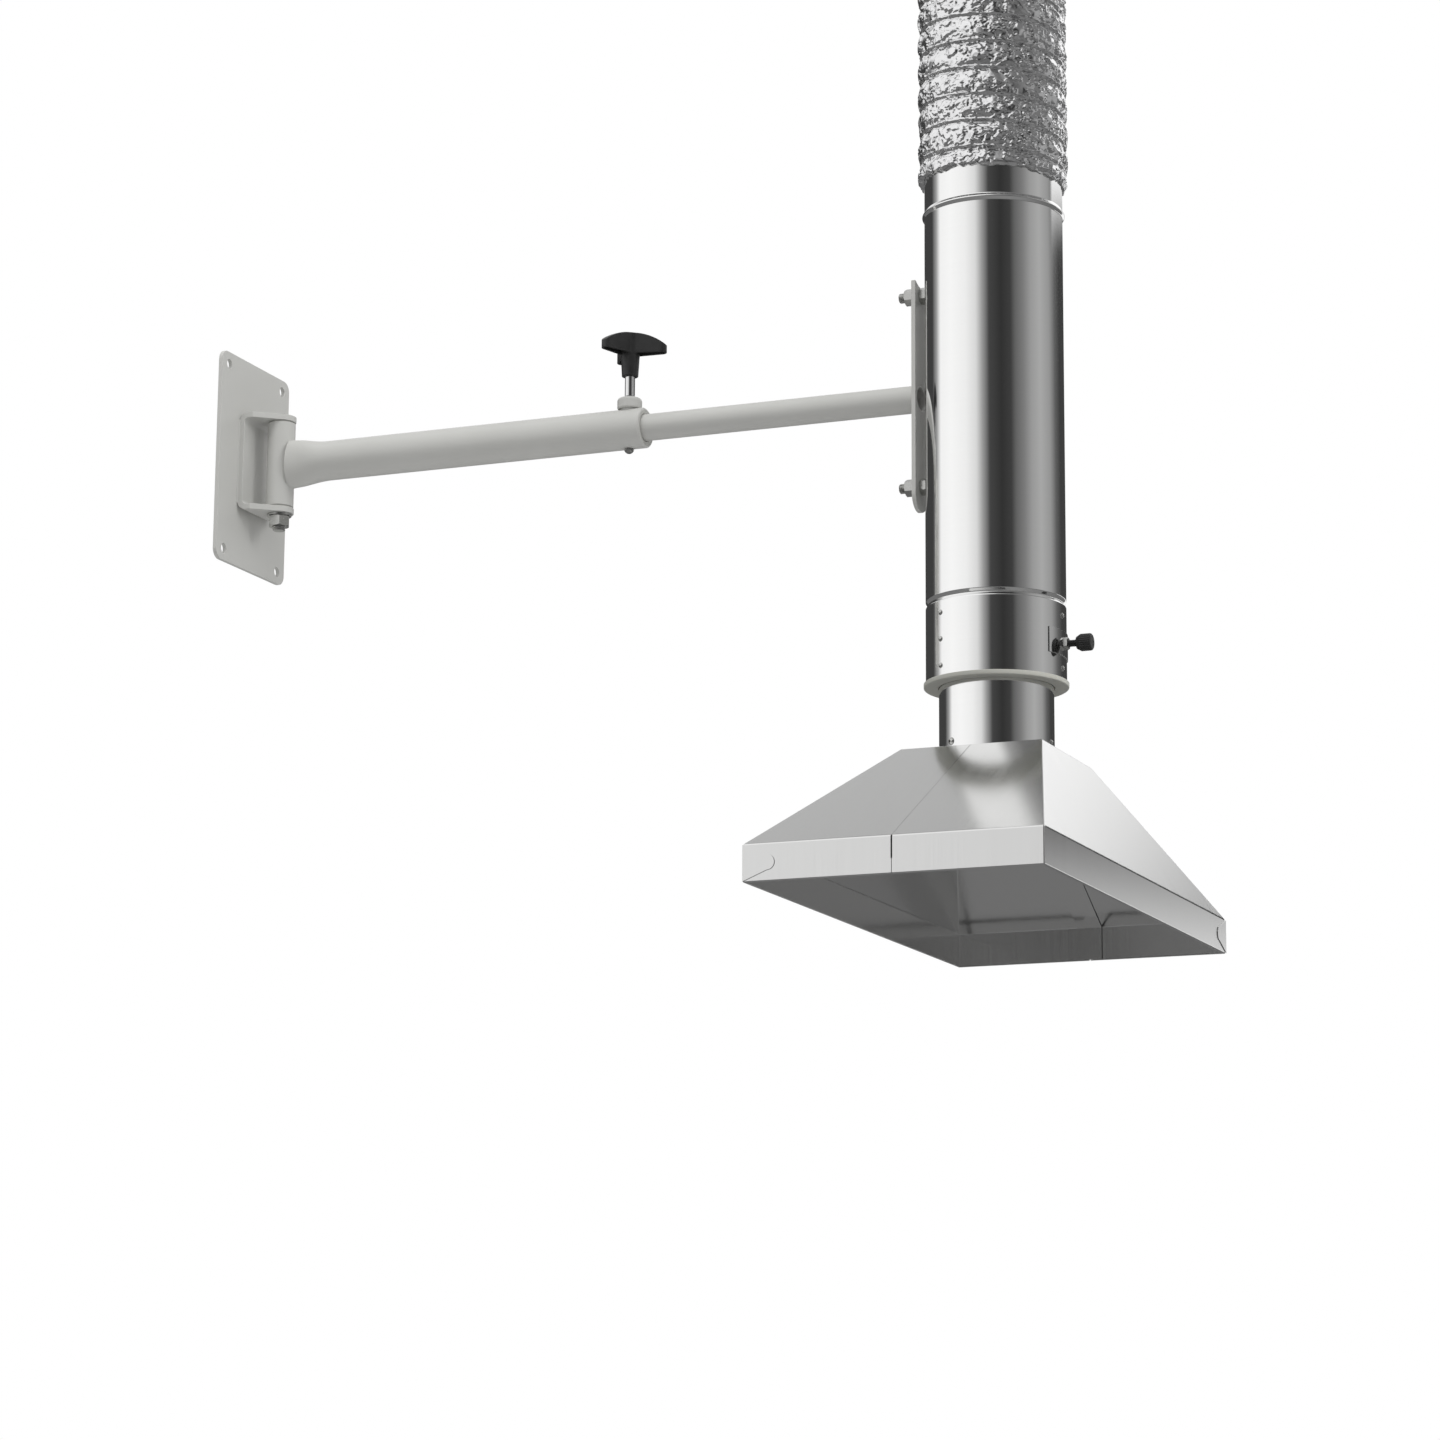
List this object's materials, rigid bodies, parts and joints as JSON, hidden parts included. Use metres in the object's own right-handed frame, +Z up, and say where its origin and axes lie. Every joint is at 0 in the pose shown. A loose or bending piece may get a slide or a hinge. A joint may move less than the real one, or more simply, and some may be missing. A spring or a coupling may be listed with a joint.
{
  "type": "fume extraction arm",
  "caption": "Wall-mounted swinging telescopic arm that carries an upright pipe with a height-adjustable rectangular fume hood and a foil duct.",
  "frame": {"origin": "centre of the wall plate's back face, where it lies on the wall", "axes": "+X out of the wall along the arm, +Z up, pipes parallel to Z at X = 0.97 m"},
  "size_m": [1.1385, 0.692, 1.2025],
  "materials": {
    "painted_steel": "light warm grey powder coat, satin",
    "zinc_steel": "zinc plated, satin",
    "chrome_steel": "chrome plated, glossy",
    "polished_steel": "polished stainless steel",
    "hood_steel": "stainless sheet, fine brushed",
    "foil": "crinkled aluminium foil",
    "black_plastic": "black thermoplastic, fine texture",
    "ring_plastic": "ivory grey plastic, satin",
    "bush_plastic": "light plastic bearing bush",
    "brass": "plain brass"
  },
  "bodies": {
    "wall": {"wall_plate": "painted_steel", "pivot_bracket": "painted_steel", "pivot_bolt": "zinc_steel", "pivot_washer": "zinc_steel", "pivot_nut": "zinc_steel"},
    "arm": {"pivot_sleeve": "painted_steel", "pivot_bushes": "bush_plastic", "arm_outer_tube": "painted_steel", "arm_guide_bush": "bush_plastic", "clamp_boss": "painted_steel", "guide_screw": "zinc_steel", "clamp_shoe": "brass"},
    "clamp": {"clamp_stud": "chrome_steel", "clamp_grip": "black_plastic"},
    "carriage": {"arm_inner_tube": "painted_steel", "inner_end_bush": "bush_plastic", "pipe_bracket_plate": "painted_steel", "bracket_studs": "zinc_steel", "bracket_spacers": "zinc_steel", "bracket_washers": "zinc_steel", "bracket_nuts": "zinc_steel", "outer_pipe": "polished_steel", "lower_guide_ring": "ring_plastic", "collar_rivets": "zinc_steel", "lock_plate": "polished_steel", "lock_nut": "zinc_steel", "foil_duct": "foil", "duct_clamp": "zinc_steel", "duct_coupler": "zinc_steel", "lock_pad": "ring_plastic"},
    "lock": {"lock_screw": "black_plastic", "lock_knob": "black_plastic"},
    "glide": {"upper_guide_ring": "ring_plastic"},
    "hood": {"inner_pipe": "polished_steel", "hood_neck": "hood_steel", "hood_screws": "zinc_steel", "hood_left_half": "hood_steel", "hood_right_half": "hood_steel"}
  },
  "joints": [
    {"name": "arm_swing", "type": "hinge", "parent": "wall", "child": "arm", "pos_m": [0.043, 0, 0], "axis": [0, 0, 1], "range_deg": [-80, 80]},
    {"name": "clamp_turn", "type": "hinge", "parent": "arm", "child": "clamp", "pos_m": [0.5115, 0, 0], "axis": [0, 0, 1], "range_deg": [0, 360]},
    {"name": "arm_slide", "type": "slide", "parent": "arm", "child": "carriage", "axis": [1, 0, 0], "range_m": [-0.315, 0]},
    {"name": "lock_turn", "type": "hinge", "parent": "carriage", "child": "lock", "pos_m": [1.05, 0, -0.304], "axis": [1, 0, 0], "range_deg": [0, 360]},
    {"name": "hood_height", "type": "slide", "parent": "carriage", "child": "glide", "axis": [0, 0, -1], "range_m": [0, 0.46]},
    {"name": "hood_turn", "type": "hinge", "parent": "glide", "child": "hood", "pos_m": [0.97, 0, 0], "axis": [0, 0, 1], "continuous": true}
  ]
}
